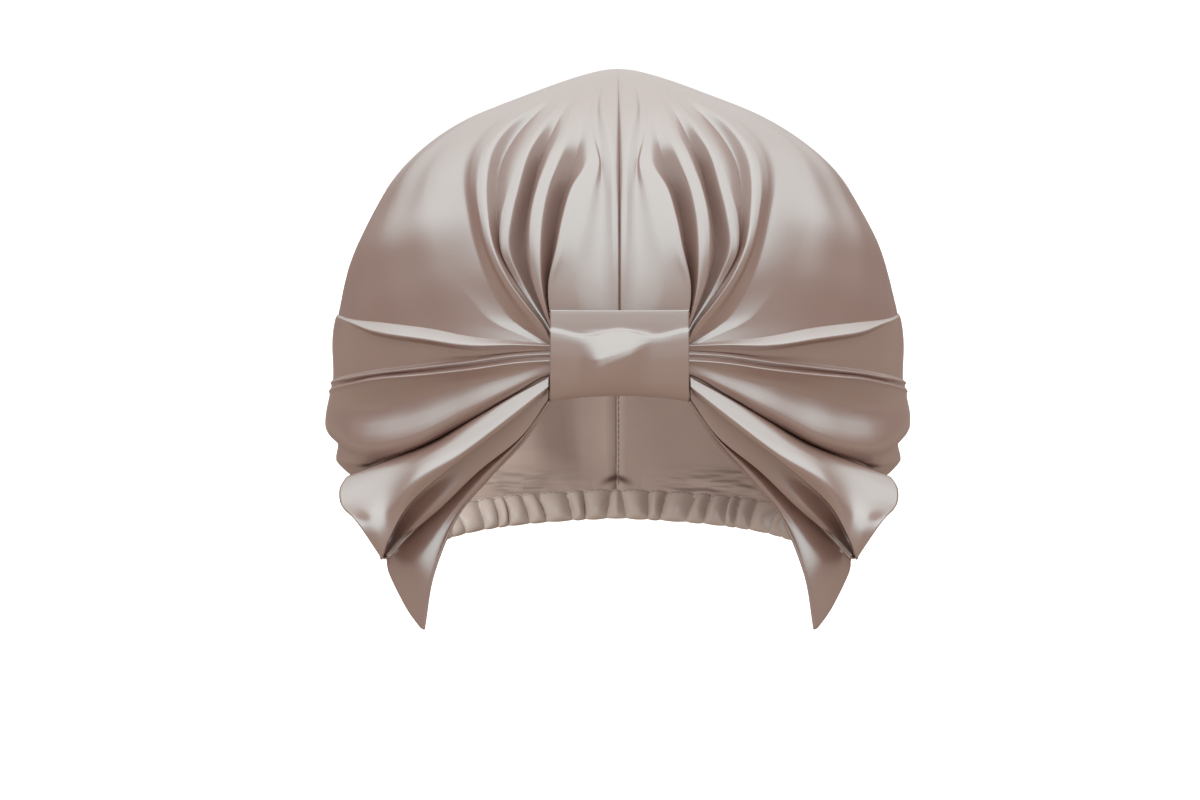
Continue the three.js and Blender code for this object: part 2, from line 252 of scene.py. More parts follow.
backdrop = add_node(
    sky, "ShaderNodeBackground", inputs={"Color": (1, 1, 1, 1), "Strength": BACKDROP_WHITE}
)
seen = add_node(sky, "ShaderNodeLightPath")
mixed = add_node(sky, "ShaderNodeMixShader", inputs={"Fac": seen.outputs["Is Camera Ray"]})
sky.links.new(room.outputs[0], mixed.inputs[1])
sky.links.new(backdrop.outputs[0], mixed.inputs[2])
add_node(sky, "ShaderNodeOutputWorld", inputs={"Surface": mixed.outputs[0]})
bpy.context.scene.view_settings.view_transform = "Standard"
print("world", world.name, "has", len(sky.nodes), "nodes")

# %% [markdown]
# ## The satin
# The cloth is polyester charmeuse in a champagne taupe. Long warp floats lie side by side on its
# face, so it reflects in a broad soft band and looks nearly metallic; the back is duller.
# A metallic or an anisotropic shader could do it, but a dielectric with a high IOR keeps the dye's
# own colour in the shade, as cloth does, and needs no direction on a folded sheet.
# The real thread spacing is about 0.1 mm, too fine to show, so the bump is drawn at 0.7 mm.

# %% Make the materials
THREAD_MM = 0.7
RELIEF_MM = 0.1
DYE_MM = 18
SHEEN_ROUGHNESS = 0.4


def satin_material(name, colours, roughness, ior, sheen, bump):
    """A woven finish: dye of one colour or uneven between two, a shine and a thread relief."""
    material = bpy.data.materials.new(name)
    material.use_nodes = True
    tree = material.node_tree
    shader = tree.nodes["Principled BSDF"]
    place = add_node(tree, "ShaderNodeTexCoord").outputs["Object"]
    tones = [linear(colour) for colour in colours]
    shader.inputs["Base Color"].default_value = tones[0]
    if len(tones) == 2:
        dye = add_node(
            tree,
            "ShaderNodeTexNoise",
            inputs={"Vector": place, "Scale": 1 / (DYE_MM * MM), "Detail": 3},
        )
        tone = add_node(
            tree,
            "ShaderNodeMix",
            {"data_type": "RGBA"},
            {"Factor": dye.outputs["Fac"], 6: tones[0], 7: tones[1]},
        )
        tree.links.new(tone.outputs[2], shader.inputs["Base Color"])
    threads = add_node(
        tree,
        "ShaderNodeTexNoise",
        inputs={"Vector": place, "Scale": 1 / (THREAD_MM * MM), "Detail": 2},
    )
    relief = add_node(
        tree,
        "ShaderNodeBump",
        inputs={"Height": threads.outputs["Fac"], "Strength": bump, "Distance": RELIEF_MM * MM},
    )
    tree.links.new(relief.outputs["Normal"], shader.inputs["Normal"])
    shader.inputs["Roughness"].default_value = roughness
    shader.inputs["Specular IOR Level"].default_value = 1
    shader.inputs["IOR"].default_value = ior
    shader.inputs["Sheen Weight"].default_value = sheen
    shader.inputs["Sheen Roughness"].default_value = SHEEN_ROUGHNESS
    return material


# Face: a pearly shine over a mid taupe, so folds read as pale bands and warm dark hollows.
SATIN = satin_material("charmeuse_satin_face", ("#8e6b60", "#957064"), 0.32, 2.2, 0.0, 0.25)
# Reverse: the short floats on the back scatter light, so the lining looks paler and flatter.
REVERSE = satin_material("charmeuse_satin_reverse", ("#a28b81", "#ac958a"), 0.42, 1.8, 0.1, 0.25)
# Gathered hem: the same reverse puffed up over elastic, painted paler than the lining as painted
# light on its small cushions, with a little more shine.
PAINTED_LIGHT_REVERSE = satin_material("gathered_hem_reverse_painted_light", ("#a8968c", "#b29f95"), 0.36, 2, 0.1, 0.1)
# Thread: matt and dyed through in one shade, so the stitches read as fine dashes on the shine.
THREAD = satin_material("spun_polyester_thread", ("#8a766b",), 0.55, 1.4, 0.2, 0.1)
print("materials", [m.name for m in (SATIN, REVERSE, PAINTED_LIGHT_REVERSE, THREAD)])

# %% [markdown]
# ## Small creases in the lining
# Where the hem is gathered, the lining above it puckers in small level creases, and a little fold,
# a pinch, sits over the foot of the seam. They are too small for the panels' grid, whose columns
# are millimetres apart there, so they are in the material, placed in millimetres on Object
# coordinates: the creases as a relief, and the pinch only as painted shade, a dark arch in the
# colour with no relief. A finer grid would do it too, at many times the faces.

# %% Add the creases to the reverse
# Each pair says, in millimetres, from where to where a share rises or falls.
TUCK_HEIGHTS = (15, 27)
TUCK_ASIDE = (12, 45)
NAPE_DEPTHS = (50, 80)
TUCK_LENGTH = 20
TUCK_WIDTH = 4
TUCK_MM = 8
# The painted shade of the pinch is an arch whose top is at this height and whose ends droop by this
# slope.
PINCH_TOP = 19
PINCH_SLOPE = 0.35
PINCH_MM = 2.8
PINCH_ENDS = (2, 10)
PINCH_PAINTED_SHADE = "#4e362e"
RISING = (0, 1)
FALLING = (1, 0)


def add_creases(material):
    """Level tucks above the casing, as relief, and the painted shade of the pinch at the seam's
    foot.
    """
    tree = material.node_tree
    shader = tree.nodes["Principled BSDF"]
    place = add_node(tree, "ShaderNodeTexCoord").outputs["Object"]
    parts = add_node(tree, "ShaderNodeSeparateXYZ", inputs={"Vector": place})
    height, sideways = parts.outputs["Z"], parts.outputs["X"]
    aside = add_node(tree, "ShaderNodeMath", {"operation": "ABSOLUTE"}, {0: sideways}).outputs[0]
    arch = add_node(
        tree, "ShaderNodeMath", {"operation": "MULTIPLY_ADD"}, {0: aside, 1: PINCH_SLOPE, 2: height}
    ).outputs[0]
    off = add_node(
        tree, "ShaderNodeMath", {"operation": "SUBTRACT"}, {0: arch, 1: PINCH_TOP * MM}
    ).outputs[0]
    gap = add_node(tree, "ShaderNodeMath", {"operation": "ABSOLUTE"}, {0: off}).outputs[0]
    shares = {}
    for name, way, value, (start, stop), (first, last) in (
        ("low", "SMOOTHSTEP", height, TUCK_HEIGHTS, FALLING),
        ("nape", "LINEAR", parts.outputs["Y"], NAPE_DEPTHS, RISING),
        ("aside", "LINEAR", aside, TUCK_ASIDE, RISING),
        ("line", "SMOOTHSTEP", gap, (0, PINCH_MM), FALLING),
        ("ends", "SMOOTHSTEP", aside, PINCH_ENDS, FALLING),
    ):
        share = add_node(
            tree,
            "ShaderNodeMapRange",
            {"interpolation_type": way},
            {
                "Value": value,
                "From Min": start * MM,
                "From Max": stop * MM,
                "To Min": first,
                "To Max": last,
            },
        )
        shares[name] = share.outputs[0]
    products = []
    for first, second, third in (("low", "nape", "aside"), ("line", "ends", "nape")):
        pair = add_node(
            tree, "ShaderNodeMath", {"operation": "MULTIPLY"}, {0: shares[first], 1: shares[second]}
        ).outputs[0]
        whole = add_node(
            tree, "ShaderNodeMath", {"operation": "MULTIPLY"}, {0: pair, 1: shares[third]}
        ).outputs[0]
        products.append(whole)
    tucked, pinch_painted_shade = products
    scale = [1 / (size * MM) for size in (TUCK_LENGTH, TUCK_LENGTH, TUCK_WIDTH)]
    stretched = add_node(tree, "ShaderNodeMapping", inputs={"Vector": place, "Scale": scale})
    waves = add_node(
        tree, "ShaderNodeTexNoise", inputs={"Vector": stretched.outputs[0], "Scale": 1, "Detail": 1}
    )
    swell = add_node(
        tree, "ShaderNodeMath", {"operation": "MULTIPLY"}, {0: waves.outputs["Fac"], 1: tucked}
    ).outputs[0]
    threads = shader.inputs["Normal"].links[0].from_socket
    tucks = add_node(
        tree,
        "ShaderNodeBump",
        inputs={"Height": swell, "Strength": 1, "Distance": TUCK_MM * MM, "Normal": threads},
    )
    # The dye is mixed towards a dark brown in an arch over the seam's foot: painted shade for the
    # pinch, which has no relief of its own.
    dye = shader.inputs["Base Color"].links[0].from_socket
    shade = linear(PINCH_PAINTED_SHADE)
    shaded = add_node(
        tree, "ShaderNodeMix", {"data_type": "RGBA"}, {"Factor": pinch_painted_shade, 6: dye, 7: shade}
    )
    tree.links.new(tucks.outputs["Normal"], shader.inputs["Normal"])
    tree.links.new(shaded.outputs[2], shader.inputs["Base Color"])


add_creases(REVERSE)
print(REVERSE.name, "has", len(REVERSE.node_tree.nodes), "nodes")

# %% [markdown]
# ## The head form
# The wrap is worn, so everything lies on one smooth head with its hair. A sculpted form with a
# Shrinkwrap would serve, but a formula lets all the tables below be written as heights and
# angles. Level sections are half ellipses in front and behind. A place on the cloth is an
# azimuth round the head (0 at the forehead, 90 at the side, 180 at the nape), a height, and a
# lift off the form.

# %% Read tables smoothly and place points on the head form
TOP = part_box("panel_right")[1].z / MM
SECTIONS = {
    "height": [213, 211, 207, 201, 190, 174, 151, 133, 103, 80, 55, 30, 0, -45],
    "side": [0, 13, 26, 42, 68, 91, 108, 117, 125, 126, 125, 114, 92, 74],
    "front": [0, 14, 28, 44, 66, 86, 101, 107, 110, 110, 105, 96, 82, 66],
    "back": [0, 15, 29, 47, 72, 92, 108, 114, 118, 117, 112, 103, 88, 70],
}
LEAST_STEP = 0.1
MOST_STEP = 1
TINY = 1e-6


def read_table(columns, values, at):
    """Smooth value between a table's columns, with slopes taken from the neighbours."""
    columns, values, at = (np.asarray(a, float) for a in (columns, values, at))
    last = len(columns) - 1
    before = np.maximum(np.arange(last + 1) - 1, 0)
    after = np.minimum(np.arange(last + 1) + 1, last)
    slope = (values[after] - values[before]) / (columns[after] - columns[before])
    k = np.clip(np.searchsorted(columns, at, side="right") - 1, 0, last - 1)
    span = columns[k + 1] - columns[k]
    s = np.clip((at - columns[k]) / span, 0, 1)
    ease = s * s * (3 - 2 * s)
    bend = span * s * (1 - s) * (slope[k] * (1 - s) - slope[k + 1] * s)
    return values[k] * (1 - ease) + values[k + 1] * ease + bend


def depth_root(height):
    """The root of the depth below the apex, which grows evenly round the crown."""
    return np.sqrt(np.maximum(TOP - np.asarray(height, float), 0) / TOP)


def head_point(azimuth, height):
    """The place on the form at an azimuth and a height."""
    roots = depth_root(SECTIONS["height"])
    side, front, back = (
        read_table(roots, SECTIONS[key], depth_root(height)) for key in ("side", "front", "back")
    )
    turn = np.radians(azimuth)
    reach = np.where(np.cos(turn) > 0, front, back)
    return np.stack([side * np.sin(turn), -reach * np.cos(turn), height + 0 * side], axis=-1)


def head_normal(azimuth, height):
    """The way out of the form there, measured over a degree and a small step of height."""
    step = np.clip((TOP - height) / 2, LEAST_STEP, MOST_STEP)
    level = head_point(azimuth + 1, height) - head_point(azimuth - 1, height)
    rise = head_point(azimuth, height + step) - head_point(azimuth, height - step)
    normal = np.cross(level, rise)
    long = np.linalg.norm(normal, axis=-1, keepdims=True)
    up = np.broadcast_to([0.0, 0.0, 1.0], normal.shape)
    return np.where(long > TINY, normal / np.maximum(long, TINY), up)


def lifted_point(azimuth, height, lift):
    """A place off the form; it never crosses the seam's middle plane."""
    azimuth, height, lift = np.broadcast_arrays(azimuth, height, lift)
    point = head_point(azimuth, height) + head_normal(azimuth, height) * lift[..., None]
    point[..., 0] = np.maximum(point[..., 0], 0)
    return point


def read_between(lines, at, crisp=0.0, level_crests=True):
    """Lines read at fractional line numbers; crisp, 0 to 1 a line, turns its crest to a crease."""
    lines = np.asarray(lines, float)
    step = np.diff(lines, axis=0)
    left, right = np.concatenate([step[:1], step]), np.concatenate([step, step[-1:]])
    if level_crests:
        product, total = left * right, left + right
        mean = np.where(product > 0, 2 * product / np.where(total == 0, 1, total), 0)
    else:
        mean = (left + right) / 2
    padded = np.shape(crisp) + (1,) * (lines.ndim - np.ndim(crisp))
    crisp = np.broadcast_to(np.reshape(crisp, padded), lines.shape)
    leaving, arriving = mean + crisp * (right - mean), mean + crisp * (left - mean)
    k = np.clip(np.floor(at).astype(int), 0, len(lines) - 2)
    s = (at - k).reshape([-1] + [1] * (lines.ndim - 1))
    ease = s * s * (3 - 2 * s)
    bend = s * (1 - s) * (leaving[k] * (1 - s) - arriving[k + 1] * s)
    return lines[k] * (1 - ease) + lines[k + 1] * ease + bend


print("widest point", np.round(head_point(90, np.array(80.0)), 1), "mm")

# %% [markdown]
# ## The body panels
# Each half of the cap is one piece of satin, gathered into the knot and sewn to its mirror image
# at the seam. Cloth simulation would find folds of its own; these folds are sewn in, so each is
# placed. The upper rows of a grid climb the crown and its columns follow the folds that fan out
# of the knot; its lower rows follow the side pleats. So a fold is a line of the grid, and its
# crest stays crisp without a very fine mesh.

# %% Tables of the crown folds and the side pleats
# Azimuths are degrees from the forehead, heights and lifts millimetres. Crisp, 0 to 1, turns a
# round crest to a crease; a shoulder, in its stead, rounds a crest by so many millimetres a side.
FOLD_HEIGHTS = [97, 104, 112, 122, 134, 148, 160, 172, 184, 194, 204]
CROWN_FOLDS = {
    "seam": {
        "azimuth": [0, 0, 0, 0, 0, 0, 0, 0, 0, 0, 0],
        "lift": [-0.4, -0.5, -0.6, -0.6, -0.6, -0.7, -0.7, -0.7, -0.7, -0.5, -0.3],
        "crisp": 0.0,
    },
    "seam_roll": {
        "azimuth": [0.35, 0.35, 0.35, 0.35, 0.35, 0.35, 0.4, 0.5, 0.7, 1, 1.6],
        "lift": [0.3, 0.3, 0.3, 0.3, 0.3, 0.4, 0.4, 0.4, 0.4, 0.3, 0.2],
        "crisp": 0.3,
    },
    "seam_ridge": {
        "azimuth": [1.2, 1.2, 1.2, 1.2, 1.2, 1.4, 1.5, 1.9, 3.6, 6.9, 10],
        "lift": [0.4, 0.4, 0.3, 0.3, 0.5, 1, 1.4, 1.7, 1.8, 1.3, 0.5],
        "crisp": 0.3,
    },
    "seam_hollow": {
        "azimuth": [2.6, 3, 3.2, 3.4, 4, 4, 4, 4.6, 6.6, 9, 13],
        "lift": [0.4, 0.4, 0.2, -0.2, -0.8, -1.2, -1.1, -0.8, -0.5, -0.3, 0],
        "crisp": 0.0,
    },
    "front_band": {
        "azimuth": [6, 6.8, 7.6, 8.6, 8.4, 7.4, 6.4, 5.2, 8.4, 11, 15],
        "lift": [1, 1.4, 1.9, 2.2, 2.3, 2, 1.6, 0.6, 0.2, 0.1, 0],
        "crisp": 0.0,
    },
    "fourth_crest": {
        "azimuth": [10.6, 12, 13.2, 13.3, 11.8, 11, 9.9, 7.2, 9.2, 12, 17],
        "lift": [1, 1.4, 2, 2.6, 3.2, 3.2, 2.8, 1.4, 0.2, 0, 0],
        "shoulder": 1.6,
    },
    "fourth_valley": {
        "azimuth": [10.9, 12.4, 13.7, 14.4, 14.4, 14.6, 14.2, 12.6, 12, 15, 20],
        "lift": [-0.6, -1.4, -2.6, -3.6, -4.8, -5.4, -5.6, -4.4, -1, 0, 0],
        "crisp": 0.7,
    },
    "third_crest": {
        "azimuth": [11.3, 12.8, 14, 15.4, 16.6, 17.4, 17.2, 16.4, 16.6, 19.5, 24],
        "lift": [0.6, 2, 3.4, 4.2, 4.8, 4.8, 4.6, 3.8, 1.6, 0.4, 0],
        "shoulder": 2.2,
    },
    "third_valley": {
        "azimuth": [11.6, 13.4, 15.6, 18.4, 21, 22, 22.2, 22.6, 22.4, 23.4, 28],
        "lift": [-0.4, -1.6, -3.4, -5, -5.4, -5.2, -5, -4.2, -2.2, -0.4, 0],
        "crisp": 0.7,
    },
    "second_crest": {
        "azimuth": [11.9, 13.7, 17, 20.9, 24.2, 24.6, 24.4, 24.6, 25.4, 27.4, 32],
        "lift": [-0.4, -1, -1.4, -0.8, 2.4, 3.4, 3.6, 3.6, 2.4, 0.6, 0],
        "shoulder": 2.2,
    },
    "second_valley": {
        "azimuth": [12.3, 13.9, 17.1, 21.2, 25, 28, 30.6, 33, 34.4, 35, 39],
        "lift": [-0.4, -1, -1.6, -1.2, -0.8, -1, -1.2, -1.6, -1.4, -0.4, 0],
        "crisp": 0.5,
    },
    "first_crest": {
        "azimuth": [12.8, 14.4, 17.8, 21.8, 25.8, 29.8, 32.8, 35.6, 37.4, 39, 46],
        "lift": [1.2, 2.6, 4, 5, 5.2, 5, 5, 4.8, 3.4, 1.4, 0.2],
        "shoulder": 2.4,
    },
    "first_face": {
        "azimuth": [13.2, 17, 20.8, 24.4, 28.4, 33, 37.2, 41, 44, 46, 53],
        "lift": [0.3, 1, 1.6, 2, 2.2, 2.4, 2.4, 2.3, 1.6, 0.6, 0.1],
        "crisp": 0.0,
    },
    "first_foot": {
        "azimuth": [13.6, 20, 23.8, 27.2, 31, 35.8, 41, 46, 50, 52, 60],
        "lift": [-0.8, -1, -0.6, 0, 0, 0, 0, 0, 0, 0, 0],
        "crisp": 0.6,
    },
    "outer_swell": {
        "azimuth": [15.2, 25, 30, 36, 43, 50, 56, 61, 65, 68, 76],
        "lift": [0, 0, 0, 0, 0, 0, 0, 0, 0, 0, 0],
        "crisp": 0.0,
    },
}
PLAIN_AZIMUTHS = [17.5, 20, 23, 27, 32, 38, 44, 50, 57, 64, 72]
PLAIN_AZIMUTHS += [80, 90, 102, 114, 126, 138, 150, 160, 170, 180]
PLEAT_AZIMUTHS = [0, 13, 20, 29, 40, 54, 66, 90, 135, 180]
PLEATS = {
    "ledge_back": {
        "height": [97.4, 97.6, 98.6, 99.8, 102.6, 103.8, 103.8, 104.4, 103.6, 102.4],
        "lift": [1.2, 0.5, 0.5, 0.3, 0.2, 0.1, 0.1, 0.1, 0, 0],
        "crisp": 0.6,
    },
    "ledge_crest": {
        "height": [97, 96.8, 96.9, 96.2, 98, 99.6, 102.4, 103.4, 103, 102],
        "lift": [2.4, 1.6, 2.8, 4.2, 5.2, 4.4, 2, 0.7, 0.1, 0],
        "crisp": 0.7,
    },
    "ledge_under": {
        "height": [96.4, 95.8, 95.2, 94.2, 96, 97.8, 100.8, 102, 101.6, 100.6],
        "lift": [3, 1, 1.1, 1.4, 1.6, 1.6, 1.3, 1, 0.1, 0],
        "crisp": 0.2,
    },
    "upper_panel": {
        "height": [95, 94.8, 93.8, 91.8, 91, 88.6, 88, 87, 89, 90],
        "lift": [3.2, 0.5, 0.6, 0.7, 0.8, 0.8, 1.2, 1.9, 0.6, 0],
        "crisp": 0.0,
    },
    "second_back": {
        "height": [93.9, 94.6, 93.8, 91, 87.8, 83.9, 80.2, 74.6, 77.8, 81.2],
        "lift": [3.2, 0.3, 0.1, 0, 0, 0.1, 0.6, 1.9, 0.5, 0],
        "crisp": 0.4,
    },
    "second_edge": {
        "height": [93, 93.3, 92.3, 89.3, 86.1, 82.2, 78.4, 72.9, 76.3, 80],
        "lift": [3.2, 1.6, 2.4, 3, 3.2, 3.2, 3.2, 3, 0.8, 0],
        "crisp": 0.8,
    },
    "second_under": {
        "height": [92.6, 92.6, 91.5, 88.4, 85.2, 81.3, 77.4, 71.9, 75.4, 79.2],
        "lift": [3.2, 1, 1.4, 1.7, 1.8, 1.8, 2, 2.5, 0.6, 0],
        "crisp": 0.2,
    },
    "third_back": {
        "height": [91.9, 91.9, 90.9, 88, 85, 81.5, 77.2, 70.8, 73.2, 76],
        "lift": [3.2, 0.7, 1, 1.2, 1.3, 1.4, 1.7, 2.5, 0.6, 0],
        "crisp": 0.4,
    },
    "third_edge": {
        "height": [91, 90.6, 89.4, 86.3, 83.2, 79.7, 75.4, 69, 71.6, 74.6],
        "lift": [3.2, 2, 3, 3.6, 3.8, 3.8, 3.6, 3.4, 0.9, 0],
        "crisp": 0.8,
    },
    "third_under": {
        "height": [90.4, 89.8, 88.2, 85, 81.8, 78.3, 74, 67.6, 70.4, 73.6],
        "lift": [3.2, 1.5, 2.2, 2.6, 2.7, 2.7, 2.7, 3.1, 0.8, 0],
        "crisp": 0.2,
    },
    "hollow": {
        "height": [89.4, 88.6, 85, 80, 73, 67, 65.6, 64.4, 65, 66],
        "lift": [3.2, 1, 1, 0.1, -1, -1, 1.6, 3.9, 1, 0],
        "crisp": 0.0,
    },
    "bulge": {
        "height": [87, 86.2, 79.8, 70, 58.6, 52.6, 52, 56.6, 60, 61],
        "lift": [3, 1, 2.4, 4.8, 7.6, 8.4, 7, 5.6, 1.2, 0],
        "crisp": 0.0,
    },
    "waist": {
        "height": [86, 85.6, 78.6, 67.6, 55.8, 48.8, 47, 49.4, 48, 49],
        "lift": [2.8, 0.9, 2, 4.2, 6.8, 7.2, 5.4, 2.4, 0.6, 0],
        "crisp": 0.0,
    },
    "lower_bulge": {
        "height": [85, 84.9, 77, 65.6, 54.2, 46, 43, 42, 39, 40],
        "lift": [2.4, 0.6, 1.2, 2.2, 3.4, 4.4, 6, 7, 1.2, 0],
        "crisp": 0.5,
    },
    "curl": {
        "height": [84, 84.4, 76.4, 65, 53.6, 45.2, 38.6, 35.4, 34, 35],
        "lift": [2, -0.6, -1.6, -2, -2, -1.4, 2, 5.6, 0.9, 0],
        "crisp": 0.2,
    },
    "tuck": {
        "height": [82, 82, 73, 61, 49.4, 41, 33, 30.4, 30, 31],
        "lift": [1.2, -0.6, -1, -1, -1, -1, 0.2, 2.4, 0.4, 0],
        "crisp": 0.0,
    },
    "skirt": {
        "height": [79.5, 79.5, 66.6, 50, 34.6, 22, 18.6, 18, 20, 20],
        "lift": [0.4, 0, -0.4, -0.6, -0.6, -0.6, -0.6, -0.5, 0, 0],
        "crisp": 0.0,
    },
    "edge": {
        "height": [78, 78, 62.6, 42, 23.4, 9, 5.4, 4.6, 8, 10.2],
        "lift": [0, 0, -0.4, -0.6, -0.6, -0.6, -0.5, 0, 0, 0],
        "crisp": 0.0,
    },
}
print(len(CROWN_FOLDS), "crown folds,", len(PLEATS), "pleat lines")

# %% Make a sheet from a grid
CLOTH_MM = 0.9
MERGE_MM = 0.02
CREASE_ANGLE = math.radians(25)


def grid_sheet(name, points, materials, wall_mm=CLOTH_MM, mirror=False):
    """A grid whose vertices go to points[i][j], in millimetres, given a wall inwards."""
    across, along = points.shape[0] - 1, points.shape[1] - 1
    bm = bmesh.new()
    bmesh.ops.create_grid(bm, x_segments=across, y_segments=along, size=0.5)
    uv = bm.loops.layers.uv.new("cloth")
    places = points * MM
    for face in bm.faces:
        for loop in face.loops:
            loop[uv].uv = (loop.vert.co.x + 0.5, loop.vert.co.y + 0.5)
    for vert in bm.verts:
        i, j = round((vert.co.x + 0.5) * across), round((vert.co.y + 0.5) * along)
        vert.co = places[i, j]
    bmesh.ops.remove_doubles(bm, verts=bm.verts, dist=MERGE_MM * MM)
    # A mirror turns the faces inside out, so they are turned back before the wall grows.
    if mirror:
        bmesh.ops.transform(bm, matrix=Matrix.Scale(-1, 4, (1, 0, 0)), verts=bm.verts)
        bmesh.ops.reverse_faces(bm, faces=bm.faces)
    for face in bm.faces:
        face.smooth = True
    for edge in bm.edges:
        edge.smooth = len(edge.link_faces) != 2 or edge.calc_face_angle_signed() > -CREASE_ANGLE
    mesh = bpy.data.meshes.new(name)
    bm.to_mesh(mesh)
    bm.free()
    for material in materials:
        mesh.materials.append(material)
    sheet = link_object(name, mesh)
    wall = sheet.modifiers.new("wall", "SOLIDIFY")
    wall.thickness = wall_mm * MM
    wall.offset = -1
    wall.material_offset = 1
    return sheet


def spread(counts, bunched=0.0):
    """Fractional line numbers, counts[k] steps from line k to the next, bunched near the lines."""
    steps = [np.arange(n) / n for n in counts]
    parts = [k + s - bunched * np.sin(2 * math.pi * s) / (2 * math.pi) for k, s in enumerate(steps)]
    return np.concatenate([*parts, [len(counts)]])


print("cloth wall", CLOTH_MM, "mm; crease past", round(math.degrees(CREASE_ANGLE)), "degrees")

# %% Follow the folds over the crown
# Reach is the crown's rough radius, and turns a shoulder's millimetres into degrees. A shoulder
# drops by its slope, and takes no more than its share of the way to a neighbour.
FOLD_STEPS = 6
BUNCHED = 0.6
REACH = 95
SHOULDER_SLOPE = 0.15
SHOULDER_SHARE = 0.4
FOLD_TOP = FOLD_HEIGHTS[-1]


def shoulder(places, lifts, crest, neighbour, width):
    """How far a rounded shoulder stands from its crest, and how far below it."""
    step = np.minimum(width, SHOULDER_SHARE * np.abs(places[neighbour] - places[crest]))
    slope_drop = SHOULDER_SLOPE * step * REACH * math.radians(1)
    return step, np.minimum(slope_drop, SHOULDER_SHARE * np.abs(lifts[crest] - lifts[neighbour]))


def column_tables(levels):
    """Azimuth and lift of every column at every level of the crown, and how crisp each is."""
    at = np.minimum(levels, FOLD_TOP)
    fade = np.clip((TOP - levels) / (TOP - FOLD_TOP), 0, 1)
    folds = list(CROWN_FOLDS.values())
    lifts = np.array([read_table(FOLD_HEIGHTS, fold["lift"], at) for fold in folds])
    places = np.array([read_table(FOLD_HEIGHTS, fold["azimuth"], at) for fold in folds])
    azimuth, lift, crisp = [], [], []
    for k, fold in enumerate(folds):
        if "shoulder" in fold:
            width = math.degrees(fold["shoulder"] / REACH)
            before, drop_before = shoulder(places, lifts, k, k - 1, width)
            after, drop_after = shoulder(places, lifts, k, k + 1, width)
            azimuth += [places[k] - before, places[k], places[k] + after]
            lift += [lifts[k] - drop_before, lifts[k], lifts[k] - drop_after]
            crisp += [0, 0, 0]
        else:
            azimuth.append(places[k])
            lift.append(lifts[k])
            crisp.append(fold["crisp"])
    outermost = azimuth[-1]
    foot = CROWN_FOLDS["outer_swell"]["azimuth"][0]
    for plain in PLAIN_AZIMUTHS:
        azimuth.append(outermost + (180 - outermost) * (plain - foot) / (180 - foot))
        lift.append(0 * outermost)
        crisp.append(0)
    return np.array(azimuth), np.array(lift) * fade, crisp


def around(row, azimuth):
    """A pleat line's height and lift at an azimuth."""
    return tuple(read_table(PLEAT_AZIMUTHS, row[key], azimuth) for key in ("height", "lift"))


print(len(column_tables(np.array([FOLD_TOP]))[0]), "lines climb each half of the crown")

# %% Add the ripple, the gathers of the hem and the slack at the nape
# A wave is given by the degrees and the millimetres that take it on by one radian.
RIPPLE_MM = 0.42
SLOW_WAVE = (4.4, 13)
CROSS_WAVE = (8, 9)
CROSS_START = 1.3
QUICK_WAVE = (2.6, 8)
QUICK_SHARE = 0.4
RIPPLE_START = 20
SEAM_CALM = 15
APEX_CALM = 25
GATHER_GAPS = [5.2, 8.6, 4.4, 7.2, 9.4, 5.8, 3.6, 6.6]
GATHER_ROUNDS = 8
HEM_START = 66
SLACK_MM = 8
SLACK_AZIMUTHS = [125, 145, 159, 172, 177, 180]
SLACK_SHARES = [0, -0.4, -0.8, 0.9, 0.3, 0]
SLACK_FOOT = (16, 30)
SLACK_HEAD = (70, 100)


def ripple(azimuth, height, phase):
    """Slow unevenness of cloth that lies on hair, in millimetres; none beside the seam."""
    slow = np.sin(azimuth / SLOW_WAVE[0] + height / SLOW_WAVE[1] + phase)
    cross = np.sin(height / CROSS_WAVE[1] - azimuth / CROSS_WAVE[0] + CROSS_START)
    quick = QUICK_SHARE * np.sin(azimuth / QUICK_WAVE[0] - height / QUICK_WAVE[1] + 2 * phase)
    beside_knot = np.clip((azimuth - RIPPLE_START) / RIPPLE_START, 0, 1)
    beside_seam = np.clip((180 - azimuth) / SEAM_CALM, 0, 1)
    near_apex = np.clip((TOP - height) / APEX_CALM, 0, 1)
    return RIPPLE_MM * (slow * cross + quick) * beside_knot * beside_seam * near_apex


def nape_slack(azimuth, height):
    """The share of a slack fold that stands beside the nape seam and dies out up and down."""
    across = read_table(SLACK_AZIMUTHS, SLACK_SHARES, azimuth)
    rising = np.clip((height - SLACK_FOOT[0]) / (SLACK_FOOT[1] - SLACK_FOOT[0]), 0, 1)
    fading = np.clip((SLACK_HEAD[1] - height) / (SLACK_HEAD[1] - SLACK_HEAD[0]), 0, 1)
    return across * rising * fading


def gather(turns):
    """How far a gathered hem puffs out between its creases, 0 to 1, round the head in degrees."""
    creases = np.cumsum([0] + GATHER_GAPS * GATHER_ROUNDS)
    k = np.searchsorted(creases, turns, side="right")
    start, stop = creases[k - 1], creases[k]
    return np.sqrt(np.maximum(np.sin(math.pi * (turns - start) / (stop - start)), 0))


print("creases of the hem stand", min(GATHER_GAPS), "to", max(GATHER_GAPS), "degrees apart")

# %% Shape the panels
PLAIN_STEPS = 3
PLEAT_STEPS = 5
CROWN_ROWS = 84
LEDGE_FADE = 6
GATHER_FADE = 16
GATHER_EASE = 12
GATHER_MM = 1.1
PHASES = {"right": 0, "left": 0.9}
SLACKS = {"right": 0, "left": SLACK_MM}


def crown_part(phase, columns, azimuths, lifts, crisp, levels):
    """The rows above the ledge, which climb the crown to the apex."""
    azimuth, lift = read_between(azimuths, columns), read_between(lifts, columns, crisp)
    ledge, ledge_lift = around(PLEATS["ledge_back"], azimuth)
    height = ledge + (TOP - ledge) * (levels - FOLD_HEIGHTS[0]) / (TOP - FOLD_HEIGHTS[0])
    near = np.clip(1 - (height - ledge) / LEDGE_FADE, 0, 1) ** 2
    return lifted_point(azimuth, height, lift + ripple(azimuth, height, phase) + ledge_lift * near)


